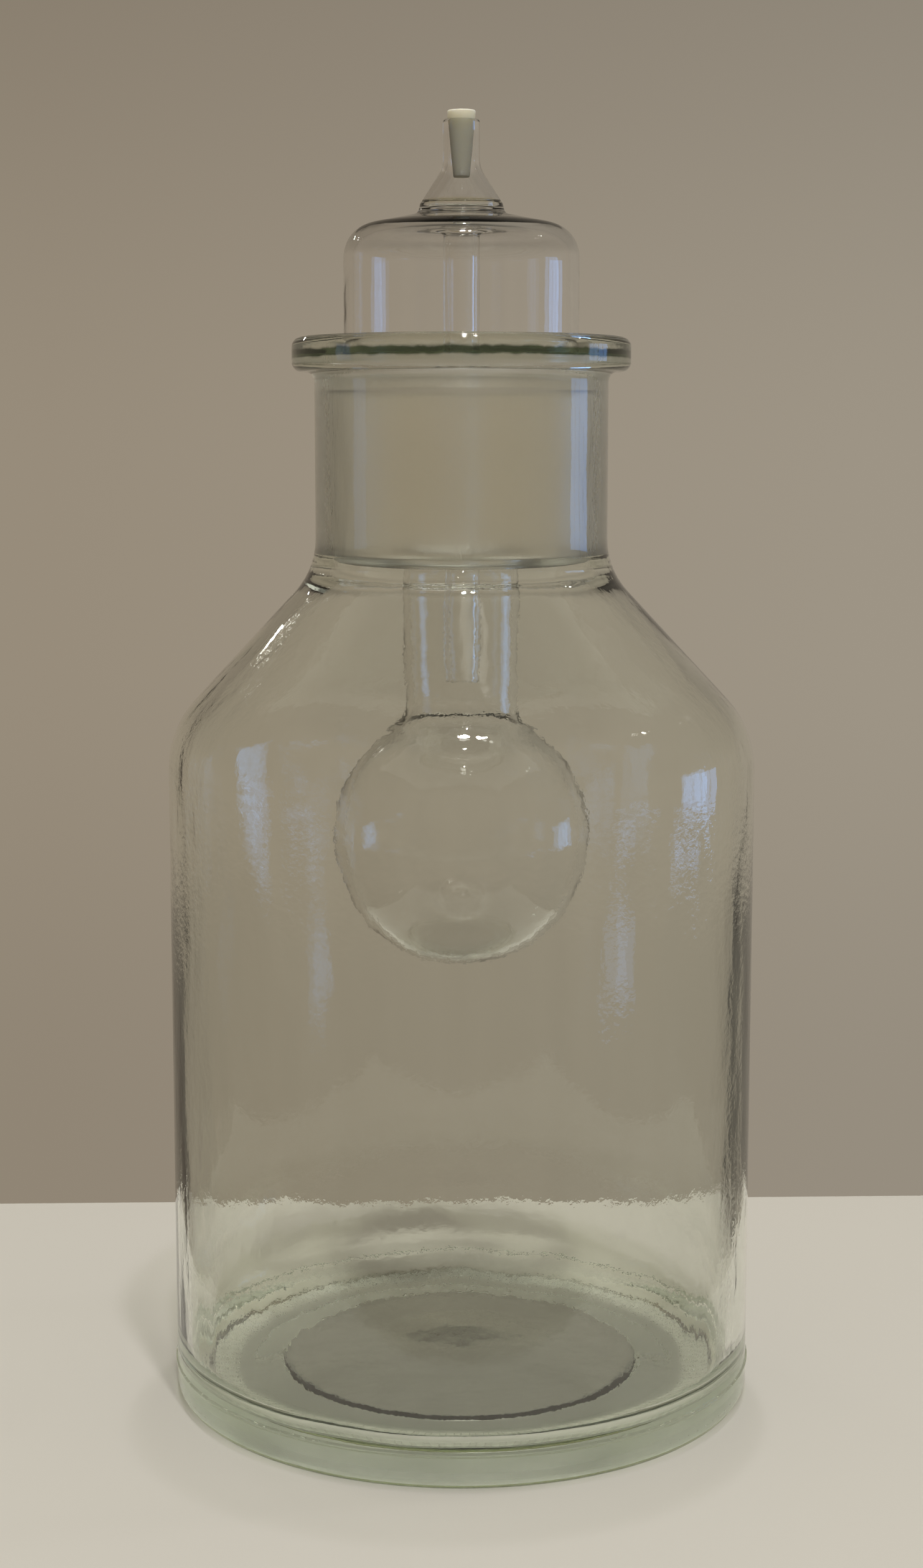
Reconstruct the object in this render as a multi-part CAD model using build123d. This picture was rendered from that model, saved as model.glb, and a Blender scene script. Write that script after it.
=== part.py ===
from build123d import *
import os
from math import atan, cos, pi, radians, sin, sqrt, tan

# Specimen jar: a moulded wide-mouth bottle closed by a hollow ground-glass stopper that
# carries a spout on top and a round bulb below. Millimetres, +Z up, the origin at the
# centre of the face the jar rests on.

# ---- jar: body, shoulder and base --------------------------------------------------
body_radius = 93.3
body_height = 217.2           # up to where the body's line would meet the shoulder's cone
body_wall = 4.5
shoulder_angle = 43.0         # between the shoulder's cone and the jar's axis
shoulder_wall = 4.3
shoulder_round = 32.0
neck_root_round = 24.0        # hollow curve from the shoulder into the neck
inner_neck_root_round = 12.0
heel_round = 9.0
bearing_ring_width = 16.0     # flat ring that the jar stands on
push_up_step_width = 11.0
push_up_step_height = 3.0
push_up_step_round = 6.0
push_up_height = 5.0
floor_thickness = 8.0         # glass over the middle of the push-up
floor_middle_radius = 30.0    # level middle of the floor
floor_middle_round = 40.0
floor_edge_drop = 3.0         # how much lower the floor is where it meets the wall
inner_heel_round = 11.0
seam_height = 12.0            # mould seam round the heel
seam_proud = 0.5
seam_width = 1.6

# ---- jar: neck, ground socket and rim ----------------------------------------------
neck_root_height = 4.14       # from the top of the shoulder's cone to the ground socket
neck_wall = 4.15              # at the bottom of the ground socket
socket_bottom_radius = 42.0
ground_taper = 1 / 80         # growth of the ground cone's radius per unit of height
socket_ground_length = 62.0
mouth_height = 5.95           # from the top of the ground socket to the top of the rim
mouth_flare = 1.2
rim_height = 10.6
rim_width = 7.0               # how far the rim stands out from the neck
rim_round = 3.0
rim_fillet = 3.0              # under the rim
lip_round = 3.2

# ---- stopper: ground cone, floor and dome ------------------------------------------
ground_clearance = 0.06       # radial gap between the two ground cones
cone_ground_length = 51.5
cone_wall = 3.2
cone_edge_round = 3.0
floor_under_socket = 3.4      # how far the stopper's floor hangs below the ground socket
stopper_floor_thickness = 3.0
cone_shoulder_round = 1.5
cone_shoulder_inner_round = 3.0
dome_inset = 5.8              # how much narrower the dome is than the top of the cone
dome_wall = 2.9
dome_neck_length = 7.5        # from the top of the ground cone to the dome's straight wall
dome_neck_round = 6.0
dome_height = 49.7            # from the ground cone to where dome and crown would meet
dome_round = 10.5
crown_angle = 11.5            # slope of the crown towards the spout
collar_height = 3.0           # the crown turns up by this much to meet the spout
collar_spread = 0.7           # how much wider the collar is at its root
collar_round = 3.0

# ---- spout and inner tube, welded to the two sides of the collar --------------------
tube_radius = 5.7
tube_wall = 1.85
spout_height = 25.5           # from the weld to the mouth
spout_wall = 1.48             # at the mouth, round the plug
spout_foot_radius = 12.9
spout_foot_wall = 1.9
spout_bend_height = 11.0      # from the weld to where foot and tube would meet
spout_bend_round = 8.0
horn_rim_wall = 1.6           # wall of the horn that the inner tube spreads into
horn_rim_inset = 1.0          # from the spout's foot in to the horn's rim
horn_lip = 0.2                # level edge where the horn meets the crown
inner_tube_reach = 37.5       # how far it hangs below the stopper's floor

# ---- bulb and its neck -------------------------------------------------------------
bulb_clearance = 0.5          # radial room for the bulb to pass through the socket
bulb_wall = 2.6
bulb_neck_radius = 18.2
bulb_neck_wall = 2.0
bulb_neck_length = 45.4       # from the stopper's floor to the bulb's root
bulb_neck_flare = 2.6         # the neck spreads by this much where it meets the floor
bulb_root_round = 5.5

# ---- plug --------------------------------------------------------------------------
plug_clearance = 0.05
plug_taper = 0.093            # growth of the plug's radius per unit of height
plug_length = 20.7
plug_stands_out = 2.9
plug_edge_round = 0.5

os.makedirs("parts", exist_ok=True)


def socket_radius(z):
    """Radius of the ground socket's cone at a height."""
    return socket_bottom_radius + (z - socket_bottom_z) * ground_taper


def stopper_radius(z):
    """Radius of the stopper's ground cone at a height."""
    return socket_radius(z) - ground_clearance


def crown_z(radius):
    """Height of the dome's outer crown at a radius."""
    return dome_shoulder_z + (dome_radius - radius) * tan(radians(crown_angle))


# ---- sizes and heights that several pieces share ------------------------------------
neck_radius = socket_bottom_radius + neck_wall
cone_drop = 1 / tan(radians(shoulder_angle))
outer_neck_z = body_height + (body_radius - neck_radius) * cone_drop
socket_bottom_z = outer_neck_z + neck_root_height
ground_top_z = socket_bottom_z + socket_ground_length
rim_top_z = ground_top_z + mouth_height
cone_bottom_z = socket_bottom_z - floor_under_socket
cone_top_z = socket_bottom_z + cone_ground_length
dome_wall_z = cone_top_z + dome_neck_length
dome_shoulder_z = cone_top_z + dome_height
dome_radius = stopper_radius(cone_top_z) - dome_inset
collar_root = spout_foot_radius + collar_spread
weld_z = crown_z(collar_root) + collar_height
horn_rim = spout_foot_radius - horn_rim_inset
horn_z = crown_z(horn_rim) - dome_wall
spout_mouth_z = weld_z + spout_height
spout_bore = tube_radius - spout_wall
spout_lip_round = 0.47 * spout_wall
bulb_radius = socket_bottom_radius - bulb_clearance
bulb_neck_bore = bulb_neck_radius - bulb_neck_wall
bulb_root_z = cone_bottom_z - bulb_neck_length
bulb_centre_z = bulb_root_z - sqrt(
    (bulb_radius + bulb_root_round) ** 2 - (bulb_neck_radius + bulb_root_round) ** 2
)


def turned(corners):
    """Solid of revolution about Z from (radius, height, corner round) points."""
    with BuildPart() as piece:
        with BuildSketch(Plane.XZ):
            with BuildLine():
                points = [(radius, z) for radius, z, _ in corners]
                FilletPolyline(*points, radius=[r for _, _, r in corners], close=True)
            make_face()
        revolve(axis=Axis.Z)
    return piece.part


def jar():
    """Moulded bottle: base with a push-up, body, shoulder, neck with its socket, rim."""
    # the inner cone lies one wall inside the outer one, measured square to it
    inner_start_z = body_height - shoulder_wall / sin(radians(shoulder_angle))
    inside = body_radius - body_wall
    inner_body_z = inner_start_z + (body_radius - inside) * cone_drop
    inner_neck_z = inner_start_z + (body_radius - socket_bottom_radius) * cone_drop
    mouth = socket_radius(ground_top_z) + mouth_flare
    rim = neck_radius + rim_width
    step_out = body_radius - heel_round - bearing_ring_width
    step_in = step_out - push_up_step_width
    floor_z = push_up_height + floor_thickness
    edge_z = floor_z - floor_edge_drop
    body = turned([
        (0, floor_z, 0),
        (floor_middle_radius, floor_z, floor_middle_round),
        (inside, edge_z, inner_heel_round),
        (inside, inner_body_z, shoulder_round - body_wall),
        (socket_bottom_radius, inner_neck_z, inner_neck_root_round),
        (socket_bottom_radius, socket_bottom_z, 0),
        (socket_radius(ground_top_z), ground_top_z, 0),
        (mouth, rim_top_z, lip_round),
        (rim, rim_top_z, rim_round),
        (rim, rim_top_z - rim_height, rim_round),
        (neck_radius, rim_top_z - rim_height, rim_fillet),
        (neck_radius, outer_neck_z, neck_root_round),
        (body_radius, body_height, shoulder_round),
        (body_radius, 0, heel_round),
        (step_out, 0, 0),
        (step_in, push_up_step_height, push_up_step_round),
        (0, push_up_height, 0),
    ])
    root = body_radius - body_wall / 2
    low = seam_height - seam_width / 2
    high = seam_height + seam_width / 2
    with BuildPart() as seam:
        with BuildSketch(Plane.XZ):
            with BuildLine():
                crest = (body_radius + seam_proud, seam_height)
                ThreePointArc((body_radius, low), crest, (body_radius, high))
                Polyline((body_radius, high), (root, high), (root, low), (body_radius, low))
            make_face()
        revolve(axis=Axis.Z)
    return body + seam.part


def stopper_shell():
    """Hollow stopper: ground cone closed by a floor, narrowing into the dome above it."""
    inner_cone_bottom = stopper_radius(cone_bottom_z) - cone_wall
    inner_cone_top = stopper_radius(cone_top_z) - cone_wall
    dome_inside = dome_radius - dome_wall
    floor_inside_z = cone_bottom_z + stopper_floor_thickness
    inner_shoulder_z = cone_top_z - dome_wall / 2
    inner_neck_z = dome_wall_z - dome_wall / 2
    return turned([
        (bulb_neck_bore, cone_bottom_z, 0),
        (stopper_radius(cone_bottom_z), cone_bottom_z, cone_edge_round),
        (stopper_radius(cone_top_z), cone_top_z, cone_shoulder_round),
        (dome_radius, dome_wall_z, dome_neck_round),
        (dome_radius, dome_shoulder_z, dome_round),
        (collar_root, crown_z(collar_root), collar_round),
        (spout_foot_radius, weld_z, 0),
        (horn_rim, weld_z, 0),
        (horn_rim, horn_z, 0),
        (dome_inside, crown_z(dome_inside) - dome_wall, dome_round - dome_wall),
        (dome_inside, inner_neck_z, dome_neck_round),
        (inner_cone_top, inner_shoulder_z, cone_shoulder_inner_round),
        (inner_cone_bottom, floor_inside_z, cone_edge_round),
        (bulb_neck_bore, floor_inside_z, 0),
    ])


def spout():
    """Short tube above the dome, spreading into the hollow foot that is welded there."""
    lean = (spout_foot_radius - tube_radius) / spout_bend_height
    bore_foot = spout_foot_radius - spout_foot_wall
    bore_bend_z = weld_z + (bore_foot - spout_bore) / lean
    return turned([
        (spout_foot_radius, weld_z, 0),
        (tube_radius, weld_z + spout_bend_height, spout_bend_round),
        (tube_radius, spout_mouth_z, spout_lip_round),
        (spout_bore, spout_mouth_z, spout_lip_round),
        (spout_bore, bore_bend_z, spout_bend_round),
        (bore_foot, weld_z, 0),
    ])


def inner_tube():
    """Tube down the stopper's axis into the bulb's neck, from a horn under the spout."""
    bore = tube_radius - tube_wall
    end_z = cone_bottom_z - inner_tube_reach
    horn_bore = horn_rim - horn_rim_wall
    horn_round = horn_rim - tube_radius - horn_lip
    return turned([
        (bore, end_z, 0),
        (tube_radius, end_z, 0),
        (tube_radius, horn_z, horn_round),
        (horn_rim, horn_z, 0),
        (horn_rim, weld_z, 0),
        (horn_bore, weld_z, 0),
        (horn_bore, horn_z + tube_wall, 0),
        (bore, horn_z + tube_wall, horn_round),
    ])


def bulb_neck():
    """Wide tube between the stopper's floor and the bulb, flared where it is welded."""
    with BuildPart() as piece:
        with BuildSketch(Plane.XZ):
            with BuildLine():
                flare_start = (bulb_neck_radius, cone_bottom_z - bulb_neck_flare)
                flare_end = (bulb_neck_radius + bulb_neck_flare, cone_bottom_z)
                RadiusArc(flare_start, flare_end, bulb_neck_flare)
                Polyline(
                    flare_end,
                    (bulb_neck_bore, cone_bottom_z),
                    (bulb_neck_bore, bulb_root_z),
                    (bulb_neck_radius, bulb_root_z),
                    flare_start,
                )
            make_face()
        revolve(axis=Axis.Z)
    return piece.part


def wall_line(neck, ball, root_round):
    """Outline from a neck through its root curve and round to a ball's lowest point."""
    share = ball / (ball + root_round)
    join_radius = (neck + root_round) * share
    join_z = bulb_centre_z + (bulb_root_z - bulb_centre_z) * share
    RadiusArc((neck, bulb_root_z), (join_radius, join_z), -root_round)
    middle = (atan((join_z - bulb_centre_z) / join_radius) - pi / 2) / 2
    belly = (ball * cos(middle), bulb_centre_z + ball * sin(middle))
    ThreePointArc((join_radius, join_z), belly, (0, bulb_centre_z - ball))


def bulb():
    """Blown round bulb, open where it meets its neck."""
    inside = bulb_radius - bulb_wall
    # the inner root curve ends level with the outer one
    rise = bulb_root_z - bulb_centre_z
    inner_round = (rise ** 2 + bulb_neck_bore ** 2 - inside ** 2) / (
        2 * (inside - bulb_neck_bore)
    )
    with BuildPart() as piece:
        with BuildSketch(Plane.XZ):
            with BuildLine():
                wall_line(bulb_neck_radius, bulb_radius, bulb_root_round)
                wall_line(bulb_neck_bore, inside, inner_round)
                Line((0, bulb_centre_z - bulb_radius), (0, bulb_centre_z - inside))
                Line((bulb_neck_bore, bulb_root_z), (bulb_neck_radius, bulb_root_z))
            make_face()
        revolve(axis=Axis.Z)
    return piece.part


def plug():
    """Tapered bung pushed into the spout's mouth."""
    top_z = spout_mouth_z + plug_stands_out
    end_z = top_z - plug_length
    # it fits the spout's bore where that begins, below the round of the lip
    seat_radius = spout_bore - plug_clearance
    top_radius = seat_radius + (plug_stands_out + spout_lip_round) * plug_taper
    end_radius = top_radius - plug_length * plug_taper
    return turned([
        (0, end_z, 0),
        (end_radius, end_z, plug_edge_round),
        (top_radius, top_z, plug_edge_round),
        (0, top_z, 0),
    ])


for name, make in {
    "jar": jar,
    "stopper_shell": stopper_shell,
    "spout": spout,
    "inner_tube": inner_tube,
    "bulb_neck": bulb_neck,
    "bulb": bulb,
    "plug": plug,
}.items():
    export_step(make(), f"parts/{name}.step")
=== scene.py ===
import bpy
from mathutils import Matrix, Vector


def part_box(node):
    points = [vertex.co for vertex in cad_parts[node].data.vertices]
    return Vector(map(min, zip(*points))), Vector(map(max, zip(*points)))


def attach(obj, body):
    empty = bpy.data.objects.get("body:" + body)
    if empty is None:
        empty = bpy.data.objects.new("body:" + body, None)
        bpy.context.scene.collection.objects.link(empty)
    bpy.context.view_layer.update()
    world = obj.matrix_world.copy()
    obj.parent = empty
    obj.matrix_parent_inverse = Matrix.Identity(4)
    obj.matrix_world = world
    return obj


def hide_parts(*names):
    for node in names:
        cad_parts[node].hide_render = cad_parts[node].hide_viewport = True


bl_info = {
    "name": "Specimen jar",
    "version": (1, 0, 0),
    "blender": (4, 5, 0),
    "location": "3D View > Sidebar > Specimen Jar",
    "description": "Glass for a wide-mouth jar with a ground stopper, its spout, tube, bulb and plug",
    "category": "Object",
}

from math import atan2, ceil, cos, degrees, hypot, pi, radians, sin, tan

import bmesh
import bpy
from bpy.props import FloatProperty, FloatVectorProperty, IntProperty, PointerProperty
from bpy.types import Operator, Panel, PropertyGroup
from mathutils import Matrix, Vector

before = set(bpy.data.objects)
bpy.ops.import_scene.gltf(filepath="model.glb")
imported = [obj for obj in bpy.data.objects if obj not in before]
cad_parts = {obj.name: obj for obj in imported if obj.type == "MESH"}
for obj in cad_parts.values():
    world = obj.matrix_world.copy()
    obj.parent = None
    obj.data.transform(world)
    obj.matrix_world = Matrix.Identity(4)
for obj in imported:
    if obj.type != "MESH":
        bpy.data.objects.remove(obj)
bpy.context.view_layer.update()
MM = 0.001
GROUND_TAPER = 1 / 80  # growth of a ground cone's radius per unit of height
SODA_LIME, BOROSILICATE, SILICONE = 1.52, 1.474, 1.41  # refractive indices


def corner(node, which):
    """The lowest (0) or highest (1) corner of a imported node, in millimetres."""
    return tuple(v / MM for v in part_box(node)[which])


JAR_HIGH = corner("jar", 1)
SHELL_LOW = corner("stopper_shell", 0)
SPOUT_LOW, SPOUT_HIGH = corner("spout", 0), corner("spout", 1)
TUBE_LOW = corner("inner_tube", 0)
NECK_HIGH = corner("bulb_neck", 1)
BULB_LOW, BULB_HIGH = corner("bulb", 0), corner("bulb", 1)
PLUG_LOW, PLUG_HIGH = corner("plug", 0), corner("plug", 1)


# ---- node helpers ------------------------------------------------------------------


class Val:
    """A number socket of a node tree, so that maths on it reads as maths."""

    def __init__(self, tree, socket):
        self.tree, self.socket = tree, socket

    def maths(self, operation, *others, flipped=False):
        values = (self, *others)[::-1] if flipped else (self, *others)
        made = self.tree.add(
            "ShaderNodeMath", {"operation": operation}, dict(enumerate(values))
        )
        return made.out()

    def __add__(self, other):
        return self.maths("ADD", other)

    __radd__ = __add__

    def __sub__(self, other):
        return self.maths("SUBTRACT", other)

    def __rsub__(self, other):
        return self.maths("SUBTRACT", other, flipped=True)

    def __mul__(self, other):
        return self.maths("MULTIPLY", other)

    __rmul__ = __mul__

    def __truediv__(self, other):
        return self.maths("DIVIDE", other)

    def __rtruediv__(self, other):
        return self.maths("DIVIDE", other, flipped=True)

    def __pow__(self, other):
        return self.maths("POWER", other)

    def vector(self):
        """This number as the X of a vector."""
        return self.tree.add("ShaderNodeCombineXYZ", None, {0: self}).out()


class Made:
    """A node just added, whose outputs are taken by name or number."""

    def __init__(self, tree, node):
        self.tree, self.node = tree, node

    def out(self, name=0):
        return Val(self.tree, self.node.outputs[name])


class Tree:
    """A node tree that is built one expression at a time."""

    def __init__(self, nodes_of):
        self.tree = nodes_of

    def add(self, kind, settings=None, sockets=None):
        """Adds a node: its settings first, then the values or links of its sockets."""
        node = self.tree.nodes.new(kind)
        for name, value in (settings or {}).items():
            if name == "stops":
                ramp = node.color_ramp.elements
                while len(ramp) < len(value):
                    ramp.new(0.5)
                for element, (at, colour) in zip(ramp, value):
                    element.position, element.color = at, colour
            else:
                setattr(node, name, value)
        for name, value in (sockets or {}).items():
            if isinstance(value, Val):
                self.tree.links.new(value.socket, node.inputs[name])
            elif value is not None:
                node.inputs[name].default_value = value
        return Made(self, node)

    def ramp(self, value, low, high, smooth=True):
        """0 below low and 1 above high, or the reverse when low is above high."""
        sockets = {"Value": value, "From Min": low, "From Max": high}
        kind = "SMOOTHSTEP" if smooth else "LINEAR"
        made = self.add("ShaderNodeMapRange", {"interpolation_type": kind}, sockets)
        return made.out()

    def within(self, value, low, high, edge):
        """1 between low and high, fading over edge on both sides."""
        return self.ramp(value, low - edge, low + edge) * self.ramp(
            value, high + edge, high - edge
        )

    def noise(self, vector, scale, detail=2.0, seed=0.0, roughness=0.5):
        sockets = {
            "Vector": vector,
            "W": seed,
            "Scale": scale,
            "Detail": detail,
            "Roughness": roughness,
        }
        made = self.add("ShaderNodeTexNoise", {"noise_dimensions": "4D"}, sockets)
        return made.out(0)

    def stretched(self, vector, x, y, z):
        made = self.add(
            "ShaderNodeVectorMath",
            {"operation": "MULTIPLY"},
            {0: vector, 1: (x, y, z)},
        )
        return made.out(0)

    def mix_colour(self, factor, first, second, blend="MIX"):
        """A colour between two others; each is a link or four numbers."""
        made = self.add(
            "ShaderNodeMix",
            {"data_type": "RGBA", "blend_type": blend},
            {0: factor, 6: first, 7: second},
        )
        return made.out(2)


# ---- outlines ----------------------------------------------------------------------


def arc(centre, radius, start, end, waviness=0.0, step=6.0):
    """Points on an arc from one angle to another, in degrees, kept as they are."""
    count = max(2, ceil(abs(end - start) / step))
    angles = [radians(start + (end - start) * i / count) for i in range(count + 1)]
    return [
        (centre[0] + radius * cos(a), centre[1] + radius * sin(a), None, waviness)
        for a in angles
    ]


def rounded(corners, run=4.0, turn=7.0, least=0.12):
    """Outline points from corners of (radius, height, round, waviness), in millimetres.

    A corner is rounded with an arc, a straight run is divided into pieces no longer
    than run, and a corner whose round is None is kept. Waviness is how much of the
    uneven wall the outline takes up there."""
    points = []
    last = len(corners) - 1
    for i, (r, z, rounding, wave) in enumerate(corners):
        if rounding is None or i in (0, last):
            points.append((r, z, wave))
            continue
        here = Vector((r, z))
        back = Vector(corners[i - 1][:2]) - here
        ahead = Vector(corners[i + 1][:2]) - here
        half = back.angle(ahead) / 2
        if pi - 2 * half < radians(1.0):
            points.append((r, z, wave))
            continue
        radius = max(rounding, least)
        reach = min(radius / tan(half), back.length * 0.49, ahead.length * 0.49)
        radius = reach * tan(half)
        back.normalize()
        ahead.normalize()
        centre = here + (back + ahead).normalized() * (radius / sin(half))
        start, end = here + back * reach - centre, here + ahead * reach - centre
        sweep = start.angle_signed(end)
        count = max(2, ceil(abs(sweep) / radians(turn)))
        for k in range(count + 1):
            spoke = start.copy()
            spoke.rotate(Matrix.Rotation(-sweep * k / count, 2))
            points.append((*(centre + spoke), wave))
    divided = [points[0]]
    for before, after in zip(points, points[1:]):
        length = hypot(after[0] - before[0], after[1] - before[1])
        if length < 0.02:
            continue
        count = max(1, ceil(length / run))
        for k in range(1, count + 1):
            share = k / count
            divided.append(
                tuple(a + (b - a) * share for a, b in zip(before, after))
            )
    return divided


def outline_mesh(name, points):
    """The outline as a mesh of edges in the XZ plane, with its outward push stored."""
    mesh = bpy.data.meshes.new(name)
    mesh.from_pydata(
        [(max(r, 0.0) * MM, 0.0, z * MM) for r, z, _ in points],
        [(i, i + 1) for i in range(len(points) - 1)],
        [],
    )
    push = mesh.attributes.new("push", "FLOAT_VECTOR", "POINT")
    for i, (r, z, wave) in enumerate(points):
        before, after = points[max(i - 1, 0)], points[min(i + 1, len(points) - 1)]
        along = Vector((after[0] - before[0], after[1] - before[1])).normalized()
        push.data[i].vector = (-along.y * wave, 0.0, along.x * wave)
    return mesh


# ---- turned glass ------------------------------------------------------------------


def turning_tree():
    """Geometry Nodes that turn an outline about Z and let its walls run uneven."""
    tree = bpy.data.node_groups.new("Turned glass", "GeometryNodeTree")
    face = tree.interface
    face.new_socket("Outline", in_out="INPUT", socket_type="NodeSocketGeometry")
    for name, kind, value in (
        ("Steps", "NodeSocketInt", 192),
        ("Unevenness", "NodeSocketFloat", 0.0003),
        ("Wave Width", "NodeSocketFloat", 0.03),
        ("Stretch", "NodeSocketFloat", 4.0),
        ("Seed", "NodeSocketFloat", 0.0),
    ):
        face.new_socket(name, in_out="INPUT", socket_type=kind).default_value = value
    face.new_socket("Glass", in_out="INPUT", socket_type="NodeSocketMaterial")
    face.new_socket("Turned", in_out="OUTPUT", socket_type="NodeSocketGeometry")
    t = Tree(tree)
    given = t.add("NodeGroupInput")
    outline, steps = given.out("Outline"), given.out("Steps")
    size = t.add("GeometryNodeAttributeDomainSize", {"component": "MESH"}, {0: outline})
    grid = t.add(
        "GeometryNodeMeshGrid",
        None,
        {"Vertices X": size.out("Point Count"), "Vertices Y": steps + 1},
    )
    index = t.add("GeometryNodeInputIndex").out()
    row = (index / (steps + 1) + 0.0001).maths("FLOOR")
    turn = (index - row * (steps + 1)) / steps * (2 * pi)

    def on_outline(value):
        made = t.add(
            "GeometryNodeSampleIndex",
            {"data_type": "FLOAT_VECTOR", "domain": "POINT"},
            {"Geometry": outline, "Value": value, "Index": row},
        )
        return t.add("ShaderNodeSeparateXYZ", None, {0: made.out()})

    at = on_outline(t.add("GeometryNodeInputPosition").out())
    stored = t.add(
        "GeometryNodeInputNamedAttribute", {"data_type": "FLOAT_VECTOR"}, {0: "push"}
    )
    push = on_outline(stored.out())
    east, north = turn.maths("COSINE"), turn.maths("SINE")
    radius, height = at.out(0), at.out(2)
    place = t.add(
        "ShaderNodeCombineXYZ",
        None,
        {0: radius * east, 1: radius * north, 2: height / given.out("Stretch")},
    )
    wave = t.noise(
        place.out(), 1 / given.out("Wave Width"), 3.0, given.out("Seed"), 0.45
    )
    swell = (wave - 0.5) * given.out("Unevenness") * 2
    radius = radius + swell * push.out(0)
    height = height + swell * push.out(2)
    moved = t.add(
        "ShaderNodeCombineXYZ", None, {0: radius * east, 1: radius * north, 2: height}
    )
    placed = t.add(
        "GeometryNodeSetPosition", None, {0: grid.out("Mesh"), "Position": moved.out()}
    )
    merged = t.add(
        "GeometryNodeMergeByDistance", None, {0: placed.out(), "Distance": 2e-6}
    )
    smooth = t.add("GeometryNodeSetShadeSmooth", None, {0: merged.out()})
    real = t.add("GeometryNodeRealizeInstances", None, {0: smooth.out()})
    glazed = t.add(
        "GeometryNodeSetMaterial", None, {0: real.out(), "Material": given.out("Glass")}
    )
    t.add("NodeGroupOutput", None, {0: glazed.out()})
    return tree


def turned(name, points, material, **inputs):
    """One closed piece turned from an outline, as a plain mesh at the origin."""
    tree = bpy.data.node_groups.get("Turned glass") or turning_tree()
    source = bpy.data.objects.new(name + "_outline", outline_mesh(name, points))
    bpy.context.scene.collection.objects.link(source)
    modifier = source.modifiers.new("Turned glass", "NODES")
    modifier.node_group = tree
    sockets = {
        item.name: item.identifier
        for item in tree.interface.items_tree
        if item.in_out == "INPUT"
    }
    modifier[sockets["Glass"]] = material
    for label, value in inputs.items():
        modifier[sockets[label.replace("_", " ").title()]] = value
    graph = bpy.context.evaluated_depsgraph_get()
    mesh = bpy.data.meshes.new_from_object(source.evaluated_get(graph), depsgraph=graph)
    source.modifiers.clear()
    bpy.data.objects.remove(source)
    mesh.name = name
    if "push" in mesh.attributes:
        mesh.attributes.remove(mesh.attributes["push"])
    check_closed(name, mesh)
    piece = bpy.data.objects.new(name, mesh)
    bpy.context.scene.collection.objects.link(piece)
    return piece


def check_closed(name, mesh):
    """Stops the script if a piece has an open edge or is inside out."""
    shape = bmesh.new()
    shape.from_mesh(mesh)
    loose = sum(len(edge.link_faces) != 2 for edge in shape.edges)
    volume = shape.calc_volume(signed=True)
    shape.free()
    if loose or volume <= 0:
        raise RuntimeError(f"{name}: {loose} open edges, volume {volume * 1e9:.0f} mm3")


# ---- glass materials ---------------------------------------------------------------

# pairs of places, in metres, between which one finish fades into the other
HEEL = 0.018, 0.013  # heights above and in the heel
HOLLOW = 0.0775, 0.072  # radii outside and in the part that the base shades
SOCKET_SKIN = 0.0452, 0.0444  # radii outside and in the ground skin of the neck
CONE_SKIN = 0.0403, 0.0409  # radii under and in the ground skin of the cone
RING_SPAN = 0.0575, 0.0850  # inner and outer radius of the rough resting ring
RING_TOP = 0.0040, 0.0034  # heights above and in the rough resting ring
FOLD_SHADE_SPAN = 0.0066, 0.0040  # lower and upper edge, under the rim's top, of its dark band of painted shade
FOLD_SHADE_SKIN = 0.0505, 0.052  # radii inside and in the outer skin of the rim, where the painted shade lies

def place_of(t):
    """Object coordinates with the distance from the axis and the height, in metres."""
    place = t.add("ShaderNodeTexCoord").out("Object")
    flat = t.stretched(place, 1.0, 1.0, 0.0)
    away = t.add("ShaderNodeVectorMath", {"operation": "LENGTH"}, {0: flat})
    height = t.add("ShaderNodeSeparateXYZ", None, {0: place}).out(2)
    return place, away.out("Value"), height


def glass_material(name, look):
    """An empty glass material: its tree and what the finish is built from."""
    material = bpy.data.materials.new(name)
    material.use_nodes = True
    material.node_tree.nodes.clear()
    material.diffuse_color = (*look.tint, 0.3)
    return material, Tree(material.node_tree)


def finish_glass(t, look, ior, ground, sockets):
    """Bends light like glass, and lets lamps through so that shadows stay light."""
    glass = t.add(
        "ShaderNodeBsdfPrincipled",
        None,
        {"Transmission Weight": 1.0, "IOR": ior, **sockets},
    )
    facing = t.add("ShaderNodeLayerWeight", None, {"Blend": 0.5}).out("Facing")
    away, height = place_of(t)[1:]
    heel = t.ramp(height, *HEEL)
    under = t.ramp(away, *HOLLOW) * heel * look.base_shadow
    # walls seen along their length and ground glass hold the light back
    dark = facing**7.0 * (1.0 - heel * 0.7) + ground * 0.9 + under
    dark = dark.maths("MINIMUM", 1.0)
    clear = t.add("ShaderNodeBsdfTransparent", None, {0: (*look.shadow_tint, 1.0)})
    edge = t.add("ShaderNodeBsdfTransparent", None, {0: (*look.edge_shadow, 1.0)})
    shade = t.add(
        "ShaderNodeMixShader", None, {0: dark, 1: clear.out(), 2: edge.out()}
    )
    lit = t.add("ShaderNodeLightPath").out("Is Shadow Ray")
    mixed = t.add("ShaderNodeMixShader", None, {0: lit, 1: glass.out(), 2: shade.out()})
    body = t.add(
        "ShaderNodeVolumeAbsorption",
        None,
        {"Color": (*look.depth_tint, 1.0), "Density": look.depth},
    )
    t.add("ShaderNodeOutputMaterial", None, {"Surface": mixed.out(), "Volume": body.out()})


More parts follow.
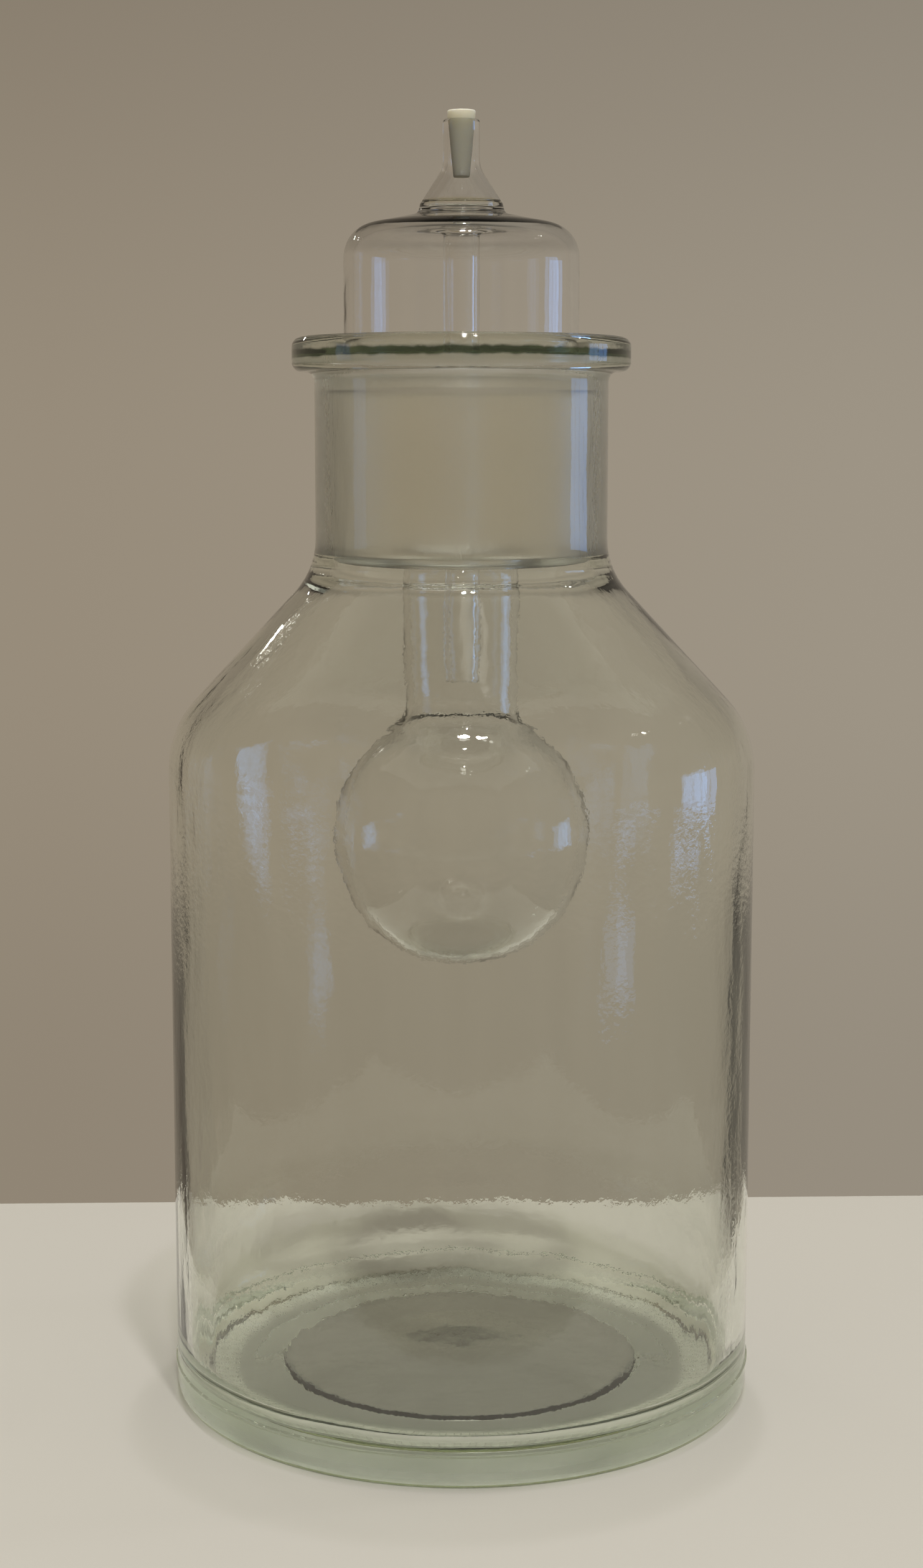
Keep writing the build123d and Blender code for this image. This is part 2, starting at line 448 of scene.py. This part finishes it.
def jar_glass(look, sizes):
    """Pressed green glass: ground inside the neck, rippled, stippled underneath, with painted shade
    in a dark band round the rim's fold.
    """
    material, t = glass_material("jar_glass", look)
    place, away, height = place_of(t)
    ground_low, ground_high = sizes.socket_bottom * MM, sizes.socket_top * MM
    inner = t.ramp(away, *SOCKET_SKIN)
    mottle = t.noise(t.stretched(place, 1, 1, 0.25), 260.0, 3.0, 2.0)
    ground = inner * t.within(height, ground_low, ground_high, 0.0004)
    resting = t.within(away, *RING_SPAN, 0.0004) * t.ramp(height, *RING_TOP)
    roughness = (
        0.012
        + ground * (look.ground_roughness + (mottle - 0.5) * 0.12)
        + resting * (look.resting_roughness + (mottle - 0.5) * 0.25)
    )
    rim = sizes.rim_top * MM
    fold_shade_low, fold_shade_high = (rim - depth for depth in FOLD_SHADE_SPAN)
    ragged = (t.noise(t.stretched(place, 1, 1, 0.4), 170.0, 4.0, 5.0) - 0.5) * 0.0022
    # painted shade: a dark green band round the rim stands in for how dark the thick folded glass
    # there looks
    band = (
        t.within(height + ragged, fold_shade_low, fold_shade_high, 0.0005)
        * t.ramp(away, *FOLD_SHADE_SKIN)
        * look.fold_shade_strength
    )
    plain = t.mix_colour(ground * 0.8, (*look.tint, 1.0), (*look.ground_tint, 1.0))
    colour = t.mix_colour(band, plain, (*look.fold_shade_tint, 1.0))
    ripple = t.noise(t.stretched(place, 1, 1, 0.35), 90.0, 2.0, 1.0)
    peel = t.noise(place, 520.0, 2.0, 3.0)
    ridges = ((away * (2 * pi / 0.0011)).maths("SINE")) * t.ramp(
        height, rim - 0.0012, rim - 0.0006
    )
    parts = t.add("ShaderNodeSeparateXYZ", None, {0: place})
    round_it = parts.out(1).maths("ARCTAN2", parts.out(0))
    broken = t.noise(place, 420.0, 2.0, 6.0)
    dashes = (round_it * sizes.knurl_count).maths("SINE") + (broken - 0.5) * 2.0
    rows = ((away - sizes.knurl_inner * MM) * (2 * pi / 0.0021)).maths("SINE")
    knurl = (
        t.ramp(dashes, 0.0, 0.5)
        * t.ramp(rows, 0.0, 0.5)
        * t.within(away, sizes.knurl_inner * MM, sizes.knurl_outer * MM, 0.0003)
        * t.ramp(height, 0.0012, 0.0006)
    )
    coarse = t.add(
        "ShaderNodeBump",
        None,
        {"Strength": look.ripple, "Distance": 0.0012, "Height": ripple + peel * 0.16},
    )
    fine = t.add(
        "ShaderNodeBump",
        None,
        {
            "Strength": 0.8,
            "Distance": 0.0004,
            "Height": ridges * 0.3 + knurl + ground * mottle * 0.4,
            "Normal": coarse.out(),
        },
    )
    finish_glass(
        t,
        look,
        SODA_LIME,
        ground,
        {"Base Color": colour, "Roughness": roughness, "Normal": fine.out()},
    )
    return material


def stopper_glass(look, sizes):
    """Clear lamp-blown glass, ground on the cone, with a faintly warm ring seal."""
    material, t = glass_material("stopper_glass", look)
    place, away, height = place_of(t)
    mottle = t.noise(t.stretched(place, 1, 1, 0.25), 260.0, 3.0, 7.0)
    cone = t.ramp(away, *CONE_SKIN) * t.within(
        height, sizes.floor_under * MM, sizes.cone_top * MM, 0.0004
    )
    roughness = 0.008 + cone * (look.ground_roughness + (mottle - 0.5) * 0.12)
    seal = t.within(height, sizes.seal * MM - 0.0004, sizes.seal * MM + 0.0008, 0.0006)
    plain = t.mix_colour(cone * 0.8, (*look.tint, 1.0), (*look.ground_tint, 1.0))
    colour = t.mix_colour(seal * 0.6, plain, (*look.seal_tint, 1.0))
    wave = t.noise(place, 60.0, 2.0, 9.0)
    bump = t.add(
        "ShaderNodeBump", None, {"Strength": look.ripple, "Distance": 0.001, "Height": wave}
    )
    finish_glass(
        t,
        look,
        BOROSILICATE,
        cone,
        {"Base Color": colour, "Roughness": roughness, "Normal": bump.out()},
    )
    return material


def silicone(look):
    """Milky plug material with a soft matt skin."""
    material, t = glass_material("plug_silicone", look)
    place, away, height = place_of(t)
    cloud = t.noise(place, 300.0, 3.0, 4.0)
    colour = t.mix_colour(cloud, (*look.tint, 1.0), (*look.shade_tint, 1.0))
    bump = t.add(
        "ShaderNodeBump", None, {"Strength": 0.25, "Distance": 0.0003, "Height": cloud}
    )
    skin = t.add(
        "ShaderNodeBsdfPrincipled",
        None,
        {
            "Base Color": colour,
            "Roughness": 0.38 + cloud * 0.15,
            "IOR": SILICONE,
            "Subsurface Weight": 0.7,
            "Subsurface Radius": (1.0, 0.95, 0.8),
            "Subsurface Scale": 0.004,
            "Normal": bump.out(),
        },
    )
    t.add("ShaderNodeOutputMaterial", None, {"Surface": skin.out()})
    return material


# ---- sizes and looks ---------------------------------------------------------------


def millimetres(label, value, about):
    return FloatProperty(name=label, description=about, default=value, min=0.0)


def tint(label, value, about):
    return FloatVectorProperty(
        name=label,
        description=about,
        default=value,
        size=3,
        min=0.0,
        max=1.0,
        subtype="COLOR",
    )


def amount(label, value, about, top=1.0):
    return FloatProperty(name=label, description=about, default=value, min=0.0, max=top)


class JarSizes(PropertyGroup):
    """Sizes of the jar in millimetres; the outer ones come from the frame."""

    seam: millimetres("Seam", 0.5, "How far the mould seam stands proud of the body")
    body_radius: millimetres("Body radius", JAR_HIGH[0] - 0.5, "Outside radius")
    rim_top: millimetres("Rim height", JAR_HIGH[2], "Height of the rim's top")
    wall: millimetres("Wall", 4.5, "Thickness of the body's wall")
    shoulder: millimetres("Shoulder", 217.2, "Height where body and shoulder would meet")
    shoulder_round: millimetres("Shoulder round", 32.0, "Round of the shoulder outside")
    inner_shoulder: millimetres("Inner shoulder", 215.7, "The same height, inside")
    neck_root: millimetres("Neck root", 267.76, "Height where shoulder and neck would meet")
    inner_neck_root: millimetres("Inner neck root", 265.9, "The same height, inside")
    neck_wall: millimetres("Neck wall", 4.15, "Wall at the bottom of the ground socket")
    socket_radius: millimetres("Socket radius", 42.0, "Inside radius at its bottom")
    socket_bottom: millimetres("Socket bottom", 271.9, "Where the ground socket starts")
    socket_top: millimetres("Socket top", 333.9, "Where the ground socket ends")
    lip_flare: millimetres("Lip flare", 1.2, "How much the mouth widens above the socket")
    rim_width: millimetres("Rim width", 7.0, "How far the rim stands out from the neck")
    rim_height: millimetres("Rim depth", 10.6, "Height of the rim itself")
    heel_round: millimetres("Heel round", 9.0, "Round between the body and the base")
    floor: millimetres("Floor", 13.0, "Height of the level middle of the floor")
    floor_middle: millimetres("Floor middle", 30.0, "Radius of the level middle")
    floor_drop: millimetres("Floor drop", 3.0, "How much lower the floor is at the wall")
    step_outer: millimetres("Step outer radius", 68.3, "Inside of the resting ring")
    step_inner: millimetres("Step inner radius", 57.9, "Top of the step under the base")
    step_height: millimetres("Step height", 2.9, "How high the step rises")
    push_up: millimetres("Push-up", 5.0, "Height of the underside on the axis")
    seam_height: millimetres("Seam height", 12.0, "Height of the mould seam")
    knurl_inner: millimetres("Knurl inner radius", 74.0, "Inner edge of the stipple")
    knurl_outer: millimetres("Knurl outer radius", 83.5, "Outer edge of the stipple")
    knurl_count: IntProperty(name="Knurls", description="Dashes in a row", default=110)
    steps: IntProperty(name="Steps", description="Faces round the jar", default=224, min=32)
    unevenness: millimetres("Unevenness", 0.6, "How far the inner wall wanders")
    wave_width: millimetres("Wave width", 26.0, "Width of the waves in the wall")


class StopperSizes(PropertyGroup):
    """Sizes of the stopper in millimetres; the outer ones come from the frame."""

    floor_under: millimetres("Floor", SHELL_LOW[2], "Underside of the stopper's floor")
    floor_thickness: millimetres("Floor thickness", 3.0, "Glass under the cone")
    cone_bottom: millimetres("Cone bottom", 41.9, "Radius of the ground cone at its foot")
    cone_wide: millimetres("Cone radius", 42.58, "Radius of the ground cone at its top")
    cone_top: millimetres("Cone top", 323.4, "Where the ground cone ends")
    cone_wall: millimetres("Cone wall", 3.2, "Wall of the ground cone")
    dome_radius: millimetres("Dome radius", 36.78, "Outside radius of the dome")
    dome_wall: millimetres("Dome wall", 2.9, "Wall of the dome")
    dome_foot: millimetres("Dome foot", 330.9, "Where the dome's straight wall starts")
    dome_shoulder: millimetres("Dome shoulder", 373.1, "Where wall and crown would meet")
    inner_crown: millimetres("Inner crown", 370.8, "The same height, inside")
    seal: millimetres("Ring seal", SPOUT_LOW[2], "Height of the spout's ring seal")
    collar_height: millimetres("Collar height", 3.0, "How far the crown turns up")
    collar_spread: millimetres("Collar spread", 0.7, "How much wider its root is")
    spout_foot: millimetres("Spout foot", 12.9, "Outside radius of the spout's foot")
    foot_wall: millimetres("Foot wall", 1.9, "Wall of the spout's foot")
    spout_bend: millimetres("Spout bend", 11.0, "From the seal to the bend outside")
    bore_bend: millimetres("Bore bend", 391.2, "Height of the bend inside the spout")
    spout_wall: millimetres("Spout wall", 1.48, "Wall of the spout's tube")
    tube_radius: millimetres("Tube radius", 5.7, "Outside radius of both tubes")
    tube_wall: millimetres("Tube wall", 1.85, "Wall of the inner tube")
    horn: millimetres("Horn", 375.27, "Height where the horn meets the crown")
    horn_radius: millimetres("Horn radius", 11.9, "Outside radius of the horn")
    horn_wall: millimetres("Horn wall", 1.6, "Wall of the horn at its rim")
    neck_wall: millimetres("Bulb neck wall", 2.0, "Wall of the bulb's neck")
    neck_flare: millimetres("Neck flare", 2.6, "How much the neck spreads at the floor")
    bulb_radius: millimetres("Bulb radius", BULB_HIGH[0], "Outside radius of the bulb")
    bulb_wall: millimetres("Bulb wall", 2.6, "Thickness of the bulb's wall")
    steps: IntProperty(name="Steps", description="Faces round it", default=144, min=32)
    unevenness: millimetres("Unevenness", 0.1, "How far the blown walls wander")
    wave_width: millimetres("Wave width", 34.0, "Width of the waves in the wall")


class GlassLook(PropertyGroup):
    """Colours of one glass."""

    tint: tint("Surface tint", (0.982, 0.988, 0.968), "Colour at each surface")
    depth_tint: tint("Depth tint", (0.35, 0.60, 0.0), "Colour of thick glass")
    depth: amount("Depth strength", 5.0, "How fast thick glass darkens, per metre", 200)
    shadow_tint: tint("Shadow tint", (0.98, 0.98, 0.97), "Lamp light let through")
    edge_shadow: tint("Edge shadow", (0.12, 0.12, 0.11), "Lamp light let through edges")
    base_shadow: amount("Base shadow", 0.46, "Lamp light kept from under the base")
    # painted shade: the rim's dark band stands in for how dark its thick folded glass looks, not a
    # colour of the glass
    fold_shade_tint: tint("Band tint", (0.04, 0.07, 0.03), "Colour of the rim's dark band")
    fold_shade_strength: amount("Rim band", 1.0, "Strength of the rim's dark band")
    seal_tint: tint("Seal tint", (0.80, 0.74, 0.45), "Colour of the ring seal")
    ground_tint: tint("Ground tint", (1.0, 0.975, 0.90), "Colour of ground glass")
    ground_roughness: amount("Ground roughness", 0.30, "Roughness of ground glass")
    resting_roughness: amount("Resting roughness", 0.8, "Roughness it rests on")
    ripple: amount("Ripple", 0.10, "Strength of the ripple in the surface")


class PlugLook(PropertyGroup):
    """Colours of the plug."""

    tint: tint("Tint", (1.0, 0.96, 0.80), "Milky colour")
    shade_tint: tint("Shade", (0.98, 0.92, 0.72), "Darker clouds in it")


class StageLook(PropertyGroup):
    """The plinth, the room and the lamps."""

    plinth: tint("Plinth", (0.82, 0.80, 0.75), "Paint of the plinth")
    wall_left: tint("Wall left", (0.311, 0.262, 0.198), "Wall behind, on the left")
    wall_right: tint("Wall right", (0.339, 0.297, 0.236), "Wall behind, on the right")
    half_width: FloatProperty(
        name="Half width",
        description="Half the plinth's side",
        default=0.198,
        unit="LENGTH",
    )
    sky: tint("Sky", (0.33, 0.54, 1.0), "Light of the windows")
    lamp: FloatProperty(name="Lamp", description="Power of the main lamp", default=150.0)
    window: FloatProperty(name="Window", description="Brightness of the windows", default=2.6)


# ---- pieces ------------------------------------------------------------------------


class SPECIMEN_OT_jar(Operator):
    """Turns the jar from its outline, with an uneven inner wall"""

    bl_idname = "specimen.jar"
    bl_label = "Jar"

    def execute(self, context):
        size, look = context.scene.jar_sizes, context.scene.jar_look
        body, rim, seam = size.body_radius, size.rim_top, size.seam
        inside = body - size.wall
        socket = size.socket_radius
        socket_mouth = socket + (size.socket_top - size.socket_bottom) * GROUND_TAPER
        lip = socket_mouth + size.lip_flare
        neck = socket + size.neck_wall
        rim_side, rim_under = neck + size.rim_width, rim - size.rim_height
        step, step_top = size.step_inner, size.step_height
        corners = [
            (0, size.floor, None, 0.1),
            (size.floor_middle, size.floor, 40, 0.3),
            (inside, size.floor - size.floor_drop, 11, 1.0),
            (inside, size.inner_shoulder, size.shoulder_round - size.wall, 1.0),
            (socket, size.inner_neck_root, 12, 0.5),
            (socket, size.socket_bottom, 0, 0.0),
            (socket_mouth, size.socket_top, 0, 0.0),
            (lip, rim, 3.2, 0.1),
            (rim_side, rim, 3, 0.15),
            (rim_side, rim_under, 3, 0.15),
            (neck, rim_under, 3, 0.1),
            (neck, size.neck_root, 24, 0.15),
            (body, size.shoulder, size.shoulder_round, 0.15),
            (body, size.seam_height + 0.8, 0.3, 0.0),
            (body + seam, size.seam_height + 0.3, 0.3, 0.0),
            (body + seam, size.seam_height - 0.3, 0.3, 0.0),
            (body, size.seam_height - 0.8, 0.3, 0.0),
            (body, 0, size.heel_round, 0.0),
            (size.step_outer, 0, 0.6, 0.0),
            (step, step_top, 6, 0.1),
            (step - 0.7, step_top + 0.4, 0.2, 0.1),
            (step - 1.5, step_top + 0.1, 0.2, 0.1),
            (0, size.push_up, None, 0.1),
        ]
        jar = turned(
            "jar_glass_wall",
            rounded(corners),
            jar_glass(look, size),
            steps=size.steps,
            unevenness=size.unevenness * MM,
            wave_width=size.wave_width * MM,
            stretch=4.0,
            seed=3.0,
        )
        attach(jar, "jar")
        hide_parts("jar")
        return {"FINISHED"}


class SPECIMEN_OT_stopper(Operator):
    """Turns the whole stopper, from the bulb's inside to its outside, as one skin"""

    bl_idname = "specimen.stopper"
    bl_label = "Stopper"

    def execute(self, context):
        size, look = context.scene.stopper_sizes, context.scene.stopper_look
        ball, wall = size.bulb_radius, size.bulb_wall
        middle = BULB_LOW[2] + ball
        root = BULB_HIGH[2]
        neck = NECK_HIGH[0] - size.neck_flare
        bore = neck - size.neck_wall
        rise = root - middle

        def ball_line(radius, tube):
            """Lowest point of a ball, up its side and round into its tube."""
            bend = (rise**2 + tube**2 - radius**2) / (2 * (radius - tube))
            side = degrees(atan2(rise, tube + bend))
            return arc((0, middle), radius, -90, side, 0.6, 5) + arc(
                (tube + bend, root), bend, side + 180, 180, 0.3, 8
            )[1:]

        floor, top, tip = size.floor_under, SPOUT_LOW[2], SPOUT_HIGH[2]
        floor_inside, foot = floor + size.floor_thickness, size.spout_foot
        tube, tube_end, horn_top = size.tube_radius, TUBE_LOW[2], size.horn + size.tube_wall
        tube_bore, spout_bore = tube - size.tube_wall, tube - size.spout_wall
        horn_bore = size.horn_radius - size.horn_wall
        dome, dome_inside = size.dome_radius, size.dome_radius - size.dome_wall
        inside = ball_line(ball - wall, bore) + [
            (bore, floor_inside, 1.2, 0.0),
            (size.cone_bottom - size.cone_wall, floor_inside, 3, 0.3),
            (size.cone_wide - size.cone_wall, size.cone_top - size.dome_wall / 2, 3, 0.3),
            (dome_inside, size.dome_foot - size.dome_wall / 2, 6, 0.6),
            (dome_inside, size.inner_crown, 7.6, 0.6),
            (size.horn_radius, size.horn, 0.5, 0.3),
            (tube, size.horn, 6, 0.0),
            (tube, tube_end, 0.4, 0.1),
            (tube_bore, tube_end, 0.4, 0.1),
            (tube_bore, horn_top, 6, 0.1),
            (horn_bore, horn_top, 0.5, 0.0),
            (horn_bore, top, 0.3, 0.0),
            (foot - size.foot_wall, top + 0.2, 0.3, 0.0),
            (spout_bore, size.bore_bend, 8, 0.2),
            (spout_bore, tip, 0.7, 0.0),
            (tube, tip, 0.7, 0.0),
            (tube, top + size.spout_bend, 8, 0.3),
            (foot, top, 0.5, 0.0),
            (foot + size.collar_spread, top - size.collar_height, 3, 0.2),
            (dome, size.dome_shoulder, 10.5, 0.5),
            (dome, size.dome_foot, 6, 0.5),
            (size.cone_wide, size.cone_top, 1.5, 0.0),
            (size.cone_bottom, floor, 3, 0.0),
            (neck + size.neck_flare, floor, None, 0.0),
        ]
        flare = arc(
            (neck + size.neck_flare, floor - size.neck_flare), size.neck_flare, 90, 180, 0.0, 15
        )[1:]
        outside = ball_line(ball, neck)[::-1]
        stopper = turned(
            "stopper_glass_wall",
            rounded(inside + flare + outside),
            stopper_glass(look, size),
            steps=size.steps,
            unevenness=size.unevenness * MM,
            wave_width=size.wave_width * MM,
            stretch=2.0,
            seed=11.0,
        )
        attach(stopper, "stopper")
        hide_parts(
            "stopper_shell", "spout", "inner_tube", "bulb_neck", "bulb"
        )
        return {"FINISHED"}


class SPECIMEN_OT_plug(Operator):
    """Turns the plug, a little barrel of silicone with soft edges"""

    bl_idname = "specimen.plug"
    bl_label = "Plug"

    def execute(self, context):
        low, high, radius = PLUG_LOW[2], PLUG_HIGH[2], PLUG_HIGH[0]
        narrow = radius - (high - low) * 0.093
        corners = [
            (0, high, None, 0.0),
            (radius, high, 0.5, 0.0),
            (narrow, low, 0.5, 0.0),
            (0, low, None, 0.0),
        ]
        plug = turned(
            "plug_bung",
            rounded(corners, run=1.0),
            silicone(context.scene.plug_look),
            steps=64,
            unevenness=0.0,
            wave_width=0.01,
            stretch=1.0,
            seed=0.0,
        )
        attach(plug, "plug")
        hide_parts("plug")
        return {"FINISHED"}


# ---- stage -------------------------------------------------------------------------


def room_world(look):
    """A plain taupe room: brighter to the right, with windows for the glass to catch."""
    world = bpy.data.worlds.new("room")
    world.use_nodes = True
    world.node_tree.nodes.clear()
    t = Tree(world.node_tree)
    way = t.add("ShaderNodeTexCoord").out("Generated")
    parts = t.add("ShaderNodeSeparateXYZ", None, {0: way})
    x, y, z = parts.out(0), parts.out(1), parts.out(2)
    level = z.maths("ARCSINE") * (180 / pi)
    # degrees to the right of the camera's side, seen from the jar
    turn = x.maths("ARCTAN2", 0.0 - y) * (180 / pi)
    side = t.ramp(x, -0.16, 0.16, False)
    wall = t.mix_colour(side, (*look.wall_left, 1.0), (*look.wall_right, 1.0))
    glow = 1.0 - 0.25 * t.ramp(z, -0.02, 0.26) - 0.10 * t.ramp(z, -0.08, -0.26)
    behind = t.ramp(y, 0.3, -0.3)
    streaks = t.noise((turn / 16.0).vector(), 1.0, 2.0, 3.0) - 0.5
    dim = glow * (1.0 + behind * (streaks * 1.3 + 0.1))
    base = t.add(
        "ShaderNodeVectorMath", {"operation": "SCALE"}, {0: wall, "Scale": dim}
    )
    panes = 0.0
    # left and right side, bottom and top, in degrees; brightness; number of lights
    for left, right, low, high, bright, lights in (
        (94, 115, -8.6, 4.5, 1.2, 4),
        (89, 104, -9.7, -9.1, 0.8, 2),
        (61, 69.5, -12.9, -10.8, 0.55, 1),
        (61, 70, -9.5, -8.9, 0.6, 1),
        (71, 81, -8.5, -7.9, 0.6, 1),
        (-92, -79, -9.2, 4.2, 0.3, 3),
        (-70, -57, -8.8, -7.4, 0.35, 2),
    ):
        pane = t.within(turn, left, right, 0.5) * t.within(level, low, high, 0.12)
        if lights > 1:
            width = (right - left) / lights
            bars = ((turn - left) * (pi / width)).maths("SINE").maths("ABSOLUTE")
            pane = pane * (0.35 + 0.65 * t.ramp(bars, 0.12, 0.3))
        panes = pane * bright + panes
    window = tuple(c * look.window for c in look.sky) + (1.0,)
    path = t.add("ShaderNodeLightPath")
    crossed, mirrored = path.out("Transmission Depth"), path.out("Glossy Depth")
    # a ray that turns round inside a wall's edge meets the dark floor of the room
    edge = t.within(crossed, 1.5, 2.5, 0.1) * t.ramp(mirrored, 0.4, 0.6)
    floor = edge * t.within(level, -18.0, -10.0, 1.8)
    dark = (floor + t.ramp(level, 45, 60) * 0.7).maths("MINIMUM", 0.93)
    lit = t.mix_colour(dark, base.out(), (0.03, 0.03, 0.025, 1.0))
    # the windows are seen mirrored in the glass, and not through it
    through = t.ramp(crossed, 0.4, 0.6) * t.ramp(mirrored, 0.6, 0.4)
    lit = t.mix_colour(panes * (1.0 - through), lit, window)
    lit = t.mix_colour(path.out("Is Camera Ray"), lit, base.out())
    back = t.add("ShaderNodeBackground", None, {0: lit, 1: 1.0})
    t.add("ShaderNodeOutputWorld", None, {0: back.out()})
    return world


def lamp(name, place, power, colour, size):
    """A small round ceiling lamp that the glass can mirror."""
    data = bpy.data.lights.new(name, "POINT")
    data.energy, data.color, data.shadow_soft_size = power, colour, size
    shown = bpy.data.objects.new(name, data)
    shown.location = place
    bpy.context.scene.collection.objects.link(shown)
    return shown


def paint(look):
    """Matt paint with a faint roller texture."""
    material = bpy.data.materials.new("plinth_paint")
    material.use_nodes = True
    material.node_tree.nodes.clear()
    t = Tree(material.node_tree)
    place = t.add("ShaderNodeTexCoord").out("Object")
    stipple = t.noise(place, 700.0, 3.0, 1.0)
    cloud = t.noise(place, 9.0, 3.0, 2.0)
    colour = t.mix_colour(
        cloud,
        tuple(c * 0.985 for c in look.plinth) + (1.0,),
        (*look.plinth, 1.0),
    )
    bump = t.add(
        "ShaderNodeBump", None, {"Strength": 0.15, "Distance": 0.0004, "Height": stipple}
    )
    skin = t.add(
        "ShaderNodeBsdfPrincipled",
        None,
        {"Base Color": colour, "Roughness": 0.7, "Normal": bump.out()},
    )
    t.add("ShaderNodeOutputMaterial", None, {"Surface": skin.out()})
    return material


class SPECIMEN_OT_stage(Operator):
    """Sets the plinth, the room, the lamps and the camera"""

    bl_idname = "specimen.stage"
    bl_label = "Stage"

    def execute(self, context):
        look, scene = context.scene.stage_look, context.scene
        half = look.half_width
        shape = bmesh.new()
        bmesh.ops.create_cube(shape, size=1.0)
        bmesh.ops.scale(shape, vec=(half * 2, half * 2, 1.1), verts=shape.verts)
        bmesh.ops.translate(shape, vec=(0, 0, -0.5502), verts=shape.verts)
        bmesh.ops.bevel(
            shape, geom=shape.edges[:], offset=0.0015, segments=2, affect="EDGES"
        )
        bmesh.ops.rotate(
            shape, cent=(0, 0, 0), matrix=Matrix.Rotation(radians(1.66), 3, "Z"), verts=shape.verts
        )
        mesh = bpy.data.meshes.new("plinth")
        shape.to_mesh(mesh)
        shape.free()
        mesh.materials.append(paint(look))
        plinth = bpy.data.objects.new("plinth", mesh)
        scene.collection.objects.link(plinth)

        scene.world = room_world(look)
        warm = (1.0, 0.98, 0.92)
        for name, turn, rise, away, share, size in (
            ("lamp_front", 2, 69, 3.2, 0.75, 0.08),
            ("lamp_front_right", 15, 68, 3.2, 0.5, 0.06),
            ("lamp_top", 170, 83, 2.6, 0.14, 0.03),
            ("lamp_right", 98, 45, 2.6, 0.03, 0.02),
            ("lamp_right_pair", 102, 44, 2.6, 0.03, 0.02),
            ("lamp_left", -150, 27, 2.8, 0.03, 0.02),
            ("lamp_left_pair", -146, 26, 2.8, 0.03, 0.02),
            ("lamp_row_1", 2, 56, 3.0, 0.012, 0.014),
            ("lamp_row_2", -3, 47, 3.2, 0.012, 0.014),
            ("lamp_row_3", 5, 76, 2.9, 0.012, 0.014),
            ("lamp_row_4", 1, 38, 3.4, 0.012, 0.014),
        ):
            flat = away * cos(radians(rise))
            place = (
                flat * sin(radians(turn)),
                -flat * cos(radians(turn)),
                away * sin(radians(rise)),
            )
            lamp(name, place, look.lamp * share, warm, size)

        data = bpy.data.cameras.new("camera")
        data.lens, data.sensor_width = 57.87, 36.0
        camera = bpy.data.objects.new("camera", data)
        camera.location = (0.0, -0.801, 0.3102)
        camera.rotation_euler = (radians(90 - 7.92), 0, 0)
        scene.collection.objects.link(camera)
        scene.camera = camera
        scene.view_settings.view_transform = "Standard"
        scene.cycles.transmission_bounces = 24
        scene.cycles.transparent_max_bounces = 24
        scene.cycles.max_bounces = 28
        scene.cycles.sample_clamp_indirect = 6.0
        # lamps reach the plinth straight through the glass, so its shadow stays even
        scene.cycles.caustics_refractive = False
        scene.cycles.caustics_reflective = False
        return {"FINISHED"}


class SPECIMEN_PT_panel(Panel):
    """Lists the pieces in the order they are made"""

    bl_label = "Specimen Jar"
    bl_idname = "SPECIMEN_PT_panel"
    bl_space_type = "VIEW_3D"
    bl_region_type = "UI"
    bl_category = "Specimen Jar"

    def draw(self, context):
        column = self.layout.column()
        for group, operator in (
            ("stage_look", "specimen.stage"),
            ("jar_sizes", "specimen.jar"),
            ("jar_look", None),
            ("stopper_sizes", "specimen.stopper"),
            ("stopper_look", None),
            ("plug_look", "specimen.plug"),
        ):
            values = getattr(context.scene, group)
            for name in values.__annotations__:
                column.prop(values, name)
            if operator:
                column.operator(operator)
            column.separator()


GROUPS = {
    "jar_sizes": JarSizes,
    "stopper_sizes": StopperSizes,
    "jar_look": GlassLook,
    "stopper_look": GlassLook,
    "plug_look": PlugLook,
    "stage_look": StageLook,
}
CLASSES = (
    JarSizes,
    StopperSizes,
    GlassLook,
    PlugLook,
    StageLook,
    SPECIMEN_OT_stage,
    SPECIMEN_OT_jar,
    SPECIMEN_OT_stopper,
    SPECIMEN_OT_plug,
    SPECIMEN_PT_panel,
)


def register():
    for each in CLASSES:
        bpy.utils.register_class(each)
    for name, group in GROUPS.items():
        setattr(bpy.types.Scene, name, PointerProperty(type=group))


def unregister():
    for name in GROUPS:
        delattr(bpy.types.Scene, name)
    for each in reversed(CLASSES):
        bpy.utils.unregister_class(each)


def main():
    register()
    look = bpy.context.scene.stopper_look
    look.tint = (0.99, 0.99, 0.99)
    look.shadow_tint = (0.97, 0.97, 0.97)
    look.base_shadow = 0.0
    look.depth_tint = (0.50, 0.60, 0.50)
    look.depth = 6.0
    bpy.ops.specimen.stage()
    bpy.ops.specimen.jar()
    bpy.ops.specimen.stopper()
    bpy.ops.specimen.plug()


if __name__ == "__main__":
    main()
